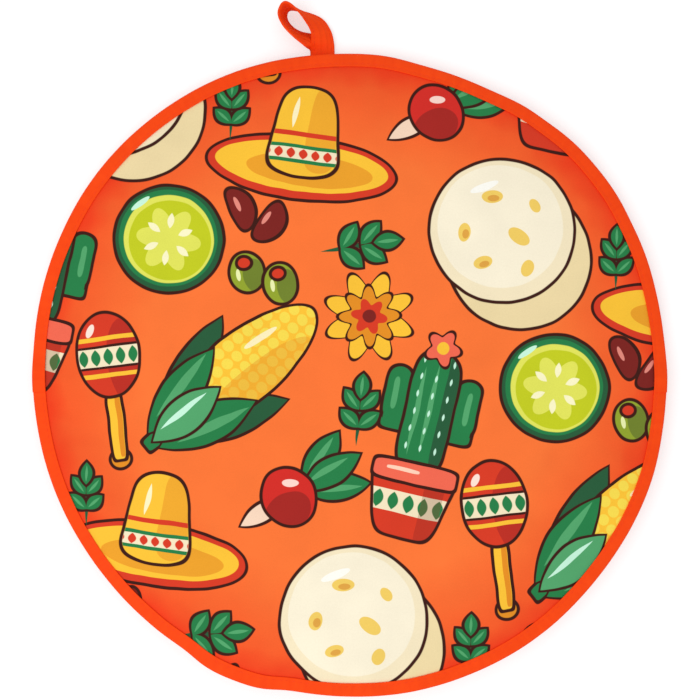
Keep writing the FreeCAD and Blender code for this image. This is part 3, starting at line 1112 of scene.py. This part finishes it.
def unroll_tape(bm, start):
    """Lays the tape's UV map out flat: along the rim, and across from one hem to the other."""
    cut = bm.loops.layers.uv.new("cut")
    for face in bm.faces:
        level = face.calc_center_median().z - TAPE_MIDDLE
        for corner in face.loops:
            x, y, z = corner.vert.co
            turn = (math.degrees(math.atan2(y, x)) - start + TURN_MARGIN) % 360
            across = math.copysign(RADIUS - math.hypot(x, y), level) + z - TAPE_MIDDLE
            corner[cut].uv = (math.radians(turn) * RADIUS, across + BOLT_MIDDLE)


def settle_tape(bm, front_of, flares=False):
    """front_of says how much a vertex, by its height, belongs to the front panel."""
    for vert in bm.verts:
        x, y, z = vert.co
        radius = math.hypot(x, y)
        side = 1 if z > TAPE_MIDDLE else -1
        dent = DENT * math.exp(-((radius - STITCH_RADIUS) / DENT_REACH) ** 2)
        stretch = 1.0
        if flares:
            flare = FLARE * eased(FOLD_Y - y, FLARE_FROM, FLARE_AT)
            z += side * flare
            stretch += flare * eased(radius, TAPE_INNER_RADIUS, RADIUS) / radius
        vert.co = settled((x * stretch, y * stretch, z - side * dent), front_of(z))


def all_front(z):
    return 1


def all_back(z):
    return 0


def by_height(z):
    return eased(z, BACK_EDGE, FACE_EDGE)


def make_binding(name, under, over, start, end, steps, front_of, flares=False):
    bm = tape_section(under, over)
    turn_section(bm, start, end, steps)
    unroll_tape(bm, start)
    settle_tape(bm, front_of, flares)
    return make_piece(name, bm, bias_tape, sharp_above=60)


# the front lip bends most when the pouch opens, so its tape gets the finest steps
SEAM_STEPS, BACK_LIP_STEPS, FRONT_LIP_STEPS = 200, 190, 360

seam_binding = make_binding("seam_tape", BACK_FACE, FRONT_FACE,
                            seam_end, 180 - seam_end, SEAM_STEPS, by_height, flares=True)
back_lip_binding = make_binding("back_lip_tape", BACK_FACE, BACK_INSIDE,
                                180 - lip_end, 360 + lip_end, BACK_LIP_STEPS, all_back)
front_lip_binding = make_binding("front_lip_tape", FRONT_INSIDE, FRONT_FACE,
                                 180 - lip_end, 360 + lip_end, FRONT_LIP_STEPS, all_front)

# %% [markdown]
# ## Stitches
#
# Lockstitch shows as a row of short dashes, each pulled a little into the cloth. One dash is a
# stretched low sphere of two dozen faces; spin copies it round the rim. A row lies on each face of
# each tape, and the mouth's corners, which take the strain when the pouch is opened, are closed
# with a bar tack: short threads side by side across the tape.

# %% One stitch, and a row of them
STITCH_LENGTH, STITCH_PITCH = 2.5 * MM, 3.1 * MM
THREAD_RADIUS = 0.2 * MM
THREAD_FLATTENED = 1.3      # times as wide as high, where it is pulled down
TACK_PITCH, TACK_MARGIN = 0.42 * MM, 1.0 * MM


def new_stitch(bm):
    """A stitch at the origin, lying along Y."""
    made = bmesh.ops.create_uvsphere(bm, u_segments=6, v_segments=4, radius=1.0)["verts"]
    half_size = (THREAD_RADIUS * THREAD_FLATTENED, STITCH_LENGTH / 2, THREAD_RADIUS)
    bmesh.ops.scale(bm, verts=made, vec=half_size)
    return made


def add_stitch(bm, radius, z):
    """A stitch along the rim where the rim crosses the X axis."""
    made = new_stitch(bm)
    bmesh.ops.translate(bm, verts=made, vec=(radius, 0, z))
    return made


def tape_face(surface, side, radius):
    """Height of the tape's outer face on one side; its limb is straight from hem to fold."""
    share = (radius - TAPE_INNER_RADIUS) / (CLOTH_RADIUS - TAPE_INNER_RADIUS)
    hem = height(surface, TAPE_INNER_RADIUS)
    return hem + (surface[1] - hem) * share + side * TAPE


def copies(bm, verts, start, turn, steps, shift=(0, 0, 0)):
    bmesh.ops.rotate(bm, verts=verts, cent=(0, 0, 0), matrix=Matrix.Rotation(start, 3, "Z"))
    faces = list({face for vert in verts for face in vert.link_faces})
    edges = list({edge for vert in verts for edge in vert.link_edges})
    bmesh.ops.spin(bm, geom=verts + edges + faces, cent=(0, 0, 0), axis=(0, 0, 1),
                   angle=turn, dvec=shift, steps=steps, use_duplicate=True)


def settle_stitches(bm, side, front):
    for vert in bm.verts:
        x, y, z = vert.co
        vert.co = settled((x, y, z - side * DENT), front)


def add_row(bm, surface, side, front, start, end, radius):
    row = bmesh.new()
    stitch = add_stitch(row, radius, tape_face(surface, side, radius))
    start, end = math.radians(start), math.radians(end)
    steps = int((end - start) * radius / STITCH_PITCH)
    copies(row, stitch, start, end - start, steps)
    settle_stitches(row, side, front)
    pour(row, bm)


def add_bar_tack(bm, surface, side, front, direction):
    """Threads side by side from hem to fold, across the end of the tape."""
    tack = bmesh.new()
    first, last = TAPE_INNER_RADIUS + TACK_MARGIN, CLOTH_RADIUS - TACK_MARGIN
    low, high = tape_face(surface, side, first), tape_face(surface, side, last)
    steps = int((last - first) / TACK_PITCH)
    shift = Matrix.Rotation(math.radians(direction), 3, "Z") @ Vector((last - first, 0, high - low))
    copies(tack, add_stitch(tack, first, low + side * THREAD_RADIUS / 2), math.radians(direction),
           0, steps, shift / steps)
    settle_stitches(tack, side, front)
    pour(tack, bm)


def make_stitches(name, under, over, fronts, start, end, tacks=()):
    """Rows on the underside and on top; fronts says which panel each lies on."""
    bm = bmesh.new()
    for surface, side, front in ((under, -1, fronts[0]), (over, 1, fronts[1])):
        add_row(bm, surface, side, front, start, end, STITCH_RADIUS)
        for direction in tacks:
            add_bar_tack(bm, surface, side, front, direction)
    return make_piece(name, bm, thread)


INSET = 1.2                 # degrees from a tape's end to its first stitch
corners = (seam_end + INSET / 2, 180 - seam_end - INSET / 2)
seam_stitches = make_stitches("seam_stitches", BACK_FACE, FRONT_FACE, (0, 1),
                              seam_end + INSET, 180 - seam_end - INSET, tacks=corners)
back_lip_stitches = make_stitches("back_lip_stitches", BACK_FACE, BACK_INSIDE, (0, 0),
                                  180 - seam_end + INSET, 360 + seam_end - INSET)
front_lip_stitches = make_stitches("front_lip_stitches", FRONT_INSIDE, FRONT_FACE, (1, 1),
                                   180 - seam_end + INSET, 360 + seam_end - INSET)

# %% [markdown]
# ## The hanging loop
#
# A length of the same tape, doubled over and caught under the binding. It leaves the rim lying
# flat, tips up on its edge to turn back, and lies flat again under itself. A grid makes the
# ribbon: its long way follows the route, its short way is laid across it at each station.

# %% The route of the loop
# Middle of the tape across and away from the root, in millimetres, then the direction from its
# lower to its upper edge, in degrees, and how steeply that direction climbs.
LOOP_STATIONS = [
    (0.0, -8.6, 180, 0),
    (0.0, -4.2, 180, 0),
    (0.0, 0.0, 180, 0),
    (-0.1, 3.9, 185, 16),
    (-1.0, 9.0, 191, 32),
    (-4.6, 14.1, 199, 44),
    (-11.5, 18.4, 192, 76),
    (-16.9, 20.2, 135, 74),
    (-18.9, 16.2, 170, 70),
    (-16.8, 11.4, 199, 69),
    (-11.9, 7.2, 228, 62),
    (-5.2, 4.4, 218, 33),
    (-1.9, 1.8, 190, 10),
    (-0.4, 0.0, 180, 0),
    (-0.3, -4.2, 180, 0),
    (-0.3, -8.6, 180, 0)]
STACKED_UNTIL, LAID_DOWN_AT = 2, 5      # stations between which the upper ply comes down
ply_low, ply_high = lowest("loop_sewn_ends"), highest("loop_sewn_ends")
LOOP_TAPE_WIDTH = ply_high.x - ply_low.x
LOOP_TAPE = 0.7 * MM
ply_pitch = ply_high.z - ply_low.z - LOOP_TAPE
loop_root = Vector((
    (ply_low.x + ply_high.x) / 2, lowest("hanging_loop").y, ply_low.z + LOOP_TAPE / 2))
print(f"loop tape {LOOP_TAPE_WIDTH / MM:.1f} mm wide, plies {ply_pitch / MM:.2f} mm apart")


def station_edges(place):
    """Lower and upper edge of the tape at one station."""
    across, away, compass, climb = LOOP_STATIONS[place]
    out, up = math.radians(compass), math.radians(climb)
    side = Vector((math.cos(up) * math.cos(out), math.cos(up) * math.sin(out), math.sin(up)))
    # the outgoing ply starts on top of the returning one and comes down after the root
    stacked = ply_pitch * (1 - eased(place, STACKED_UNTIL, LAID_DOWN_AT))
    middle = loop_root + Vector((across, away, 0)) * MM
    middle.z += stacked + LOOP_TAPE_WIDTH / 2 * side.z
    return middle - side * LOOP_TAPE_WIDTH / 2, middle + side * LOOP_TAPE_WIDTH / 2


def between(points, where):
    """A smooth line through the points, read at a fractional place."""
    last = len(points) - 1
    here = min(int(where), last - 1)
    share = where - here
    before, start, end, after = [points[min(max(here + step, 0), last)] for step in (-1, 0, 1, 2)]
    lean = (end - before) / 2
    lean_after = (after - start) / 2
    cubed, squared = share ** 3, share ** 2
    return (start * (2 * cubed - 3 * squared + 1) + lean * (cubed - 2 * squared + share)
            + end * (3 * squared - 2 * cubed) + lean_after * (cubed - squared))


loop_edges = [station_edges(place) for place in range(len(LOOP_STATIONS))]
LOWER_EDGE = [low for low, high in loop_edges]
UPPER_EDGE = [high for low, high in loop_edges]
LAST_STATION = len(LOOP_STATIONS) - 1
edge_length = sum((end - start).length for start, end in zip(UPPER_EDGE, UPPER_EDGE[1:]))
print(f"loop: {len(LOOP_STATIONS)} stations, upper edge {edge_length / MM:.1f} mm long")

# %% The ribbon
RIBBON_LENGTHS, RIBBON_WIDTHS = 120, 24
GRID_HALF = 0.5                 # a grid of this size is one unit across
# both rolled edges and two pressed lines, as shares of the width
CREASES = (0.0, 0.34, 0.62, 1.0)
CREASE_DEPTH, CREASE_WIDTH = 0.36 * MM, 0.03


def crease(across):
    return sum(CREASE_DEPTH * math.exp(-((across - place) / CREASE_WIDTH) ** 2)
               for place in CREASES)


def make_loop():
    bm = bmesh.new()
    bmesh.ops.create_grid(bm, x_segments=RIBBON_LENGTHS, y_segments=RIBBON_WIDTHS, size=GRID_HALF)
    cut = bm.loops.layers.uv.new("cut")
    for face in bm.faces:
        for corner in face.loops:
            along, across = corner.vert.co.x * edge_length, corner.vert.co.y * LOOP_TAPE_WIDTH
            corner[cut].uv = (along + BOLT_MIDDLE, across + BOLT_MIDDLE)
    shares = {}
    for vert in bm.verts:
        where = (vert.co.x + GRID_HALF) * LAST_STATION
        across = vert.co.y + GRID_HALF
        vert.co = between(LOWER_EDGE, where).lerp(between(UPPER_EDGE, where), across)
        shares[vert] = across
    bmesh.ops.recalc_face_normals(bm, faces=bm.faces)
    bm.normal_update()
    moved = {vert: vert.co - vert.normal * crease(across) for vert, across in shares.items()}
    for vert, place in moved.items():
        vert.co = place
    made = make_piece("hanging_ribbon", bm, bias_tape)
    give_thickness(made, LOOP_TAPE)
    return made


hanging_ribbon = make_loop()

# %% Its stitches: a row near each edge, and a box through the sewn ends
EDGE_ROWS = (0.12, 0.88)        # share of the tape's width
BOX_WIDTH, BOX_LENGTH = 8.4 * MM, 6.0 * MM
BOX_SETBACK = 4.6 * MM          # from the root to the middle of the box
ROOT_STATION = 2.2              # the rows start here, past the rim
WALK = 0.01                     # how finely the route is paced out, in stations


def lay_stitch(bm, place, along, out):
    """A stitch at a place, lying along one direction and standing out in another."""
    made = new_stitch(bm)
    turned = Matrix((along.cross(out), along, out)).transposed().to_4x4()
    bmesh.ops.transform(bm, verts=made, matrix=Matrix.Translation(place) @ turned)


def paced(line, first, last, pitch):
    """Fractional places on a line of stations, a stitch apart."""
    places, gone, where = [], pitch, first
    while where < last:
        if gone >= pitch:
            places.append(where)
            gone = 0.0
        gone += (between(line, where + WALK) - between(line, where)).length
        where += WALK
    return places


def make_loop_stitches():
    bm = bmesh.new()
    for share in EDGE_ROWS:
        line = [low.lerp(high, share) for low, high in loop_edges]
        for where in paced(line, ROOT_STATION, LAST_STATION - ROOT_STATION, STITCH_PITCH):
            place = between(line, where)
            along = (between(line, where + WALK) - place).normalized()
            across = (between(UPPER_EDGE, where) - between(LOWER_EDGE, where)).normalized()
            out = along.cross(across).normalized()
            for side in (-1, 1):
                lay_stitch(bm, place + out * side * LOOP_TAPE / 2, along, out * side)
    under = loop_root + Vector((0, -BOX_SETBACK, -LOOP_TAPE / 2))
    for side in (-1, 1):
        for step in (-1, 0, 1):
            lay_stitch(bm, under + Vector((step * BOX_WIDTH / 3, side * BOX_LENGTH / 2, 0)),
                       Vector((1, 0, 0)), Vector((0, 0, -1)))
        for step in (-0.5, 0.5):
            lay_stitch(bm, under + Vector((side * BOX_WIDTH / 2, step * BOX_LENGTH / 2, 0)),
                       Vector((0, 1, 0)), Vector((0, 0, -1)))
    return make_piece("loop_stitches", bm, thread)


loop_stitches = make_loop_stitches()

# %% [markdown]
# ## Riding on the solids
#
# The flap is not a separate piece: the front panel simply bends along the chord between the two
# corners of the mouth. Here the front panel's layers, its lip's tape and stitches and the loop are
# only fixed where they lie, and the solids they replace are hidden. The back panel's layers, the
# seam's and back lip's tapes and their stitches follow the pouch's body.

for piece, node in ((front_cover, "outer_panel"), (front_wadding, "batting"),
                    (front_lining, "lining")):
    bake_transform(piece)
    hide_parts("front_" + node, "flap_" + node)

for piece in (front_lip_binding, front_lip_stitches):
    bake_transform(piece)
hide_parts("flap_lip_binding")

for piece, node in ((back_cover, "back_outer_panel"), (back_wadding, "back_batting"),
                    (back_lining, "back_lining"), (seam_binding, "seam_binding"),
                    (back_lip_binding, "back_lip_binding")):
    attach(piece, "pouch")
    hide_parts(node)

for piece in (seam_stitches, back_lip_stitches):
    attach(piece, "pouch")

for piece in (hanging_ribbon, loop_stitches):
    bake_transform(piece)
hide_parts("hanging_loop", "loop_sewn_ends")

# %% [markdown]
# ## The studio
#
# A white table, an even white sky and one large soft lamp. Together they add up to about one, so
# a colour on top of the pouch renders about as it is written. The background has to come out pure
# white without more light on the pouch, so the camera alone sees the table and the sky brighter
# than they light the scene. The camera also sees only half of the pouch's shadow, as on a white
# table that is lit from below.

# %% Floor
FLOOR_SIZE = 6.0
FLOOR_GAP = 0.1 * MM                   # keeps the table's face off the cloth that lies on it
WHITE_SEEN, WHITE_LIT = 1.2, 0.8       # how bright the table looks, and what it throws back
SHADOW_FADED = 0.5                     # share of the shadow that the camera doesn't see


def make_table():
    material, tree = new_material("white_laminate")
    seen = add(tree, "ShaderNodeLightPath").outputs["Is Camera Ray"]
    colour = add(tree, "ShaderNodeMix", {
        0: seen, MIX_UNDER: (WHITE_LIT,) * 3 + (1,), MIX_OVER: (WHITE_SEEN,) * 3 + (1,)},
        data_type="RGBA").outputs[MIXED]
    laminate = add(tree, "ShaderNodeBsdfDiffuse", {"Color": colour})
    white = add(tree, "ShaderNodeEmission", {"Color": (1, 1, 1, 1), "Strength": 1.0})
    faded = add(tree, "ShaderNodeMath", {0: seen, 1: SHADOW_FADED}, operation="MULTIPLY")
    surface = add(tree, "ShaderNodeMixShader", {
        0: faded.outputs[0], 1: laminate.outputs[0], 2: white.outputs[0]})
    add(tree, "ShaderNodeOutputMaterial", {"Surface": surface.outputs[0]})
    material.cycles.emission_sampling = "NONE"
    return material


bm = bmesh.new()
bmesh.ops.create_grid(bm, x_segments=1, y_segments=1, size=FLOOR_SIZE)
floor = make_piece("floor", bm, make_table())
floor.data.transform(Matrix.Translation((0, 0, -FLOOR_GAP)))

# %% Light
SKY_SEEN, SKY_LIGHT = 1.0, 0.82
KEY_PLACE, KEY_SIZE, KEY_WATTS = (-0.6, -0.5, 1.1), 1.0, 5.0
world = bpy.data.worlds.new("studio_sky")
bpy.context.scene.world = world
world.use_nodes = True
sky = world.node_tree
sky.nodes.clear()
seen = add(sky, "ShaderNodeLightPath").outputs["Is Camera Ray"]
strength = add(sky, "ShaderNodeMapRange", {"Value": seen, "To Min": SKY_LIGHT, "To Max": SKY_SEEN})
background = add(sky, "ShaderNodeBackground", {
    "Color": (1, 1, 1, 1), "Strength": strength.outputs[0]})
add(sky, "ShaderNodeOutputWorld", {"Surface": background.outputs[0]})


def make_lamp(name, place, size, power):
    lamp = bpy.data.lights.new(name, "AREA")
    lamp.shape = "SQUARE"
    lamp.size = size
    lamp.energy = power
    made = bpy.data.objects.new(name, lamp)
    made.location = place
    made.rotation_euler = (-Vector(place)).to_track_quat("-Z", "Y").to_euler()
    bpy.context.scene.collection.objects.link(made)
    return made


make_lamp("soft_key", KEY_PLACE, KEY_SIZE, KEY_WATTS)
print(f"sky {SKY_LIGHT}, lamp {KEY_WATTS} W")

# %% Camera
CAMERA_CENTRE = Vector((0.24, 10.97, 0)) * MM
FRAME_WIDTH = 333.9 * MM
AIM_HEIGHT = 6 * MM                    # the frame is this wide at the height of the rim
LENS, SENSOR = 85, 36                  # mm
camera_data = bpy.data.cameras.new("overhead")
camera_data.lens = LENS
camera_data.sensor_width = SENSOR
camera = bpy.data.objects.new("overhead", camera_data)
distance = FRAME_WIDTH * camera_data.lens / camera_data.sensor_width
camera.location = CAMERA_CENTRE + Vector((0, 0, distance + AIM_HEIGHT))
bpy.context.scene.collection.objects.link(camera)
bpy.context.scene.camera = camera
bpy.context.scene.view_settings.view_transform = "Standard"
print(f"camera {distance:.3f} m above the pouch")
